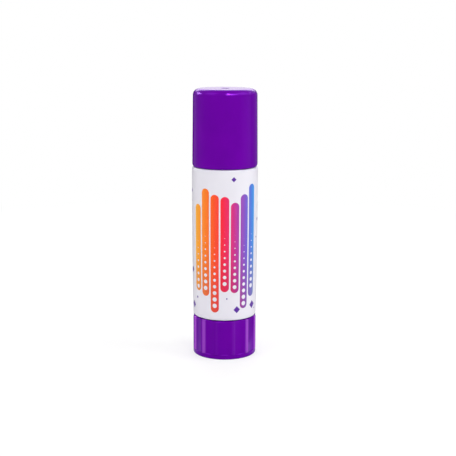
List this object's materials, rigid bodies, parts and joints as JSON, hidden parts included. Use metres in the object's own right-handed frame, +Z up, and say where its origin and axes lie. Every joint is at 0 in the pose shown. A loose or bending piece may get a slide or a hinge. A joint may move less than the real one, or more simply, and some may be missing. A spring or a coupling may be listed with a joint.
{
  "type": "glue stick",
  "caption": "Closed twist-up glue stick: push-on cap, labelled barrel and fluted knob, with a threaded spindle and carrier that raise the glue.",
  "frame": {"origin": "centre of the knob's underside, on the surface that the stick stands on", "axes": "+Z up along the stick's axis, from the knob to the cap; -Y is the label's front"},
  "size_m": [0.0212, 0.0212, 0.086],
  "materials": {
    "violet_plastic": "glossy moulded polypropylene, violet",
    "white_plastic": "moulded polypropylene, white",
    "natural_plastic": "moulded polypropylene, undyed",
    "printed_film": null,
    "violet_glue": "waxy solid glue, violet, satin"
  },
  "bodies": {
    "barrel": {"barrel": "white_plastic", "label": "printed_film"},
    "cap": {"cap": "violet_plastic"},
    "knob": {"knob": "violet_plastic", "spindle": "natural_plastic"},
    "carrier": {"carrier": "natural_plastic", "glue": "violet_glue"}
  },
  "joints": [
    {"name": "cap_lift", "type": "slide", "parent": "barrel", "child": "cap", "axis": [0, 0, 1], "range_m": [0, 0.04]},
    {"name": "knob_turn", "type": "hinge", "parent": "barrel", "child": "knob", "pos_m": [0, 0, 0], "axis": [0, 0, 1], "range_deg": [-3240, 990]},
    {"name": "glue_rise", "type": "slide", "parent": "barrel", "child": "carrier", "axis": [0, 0, 1], "range_m": [-0.0361, 0.0111]}
  ],
  "couplings": [
    {"joint": "glue_rise", "follows": "knob_turn", "m_per_rad": 0.00063662}
  ]
}
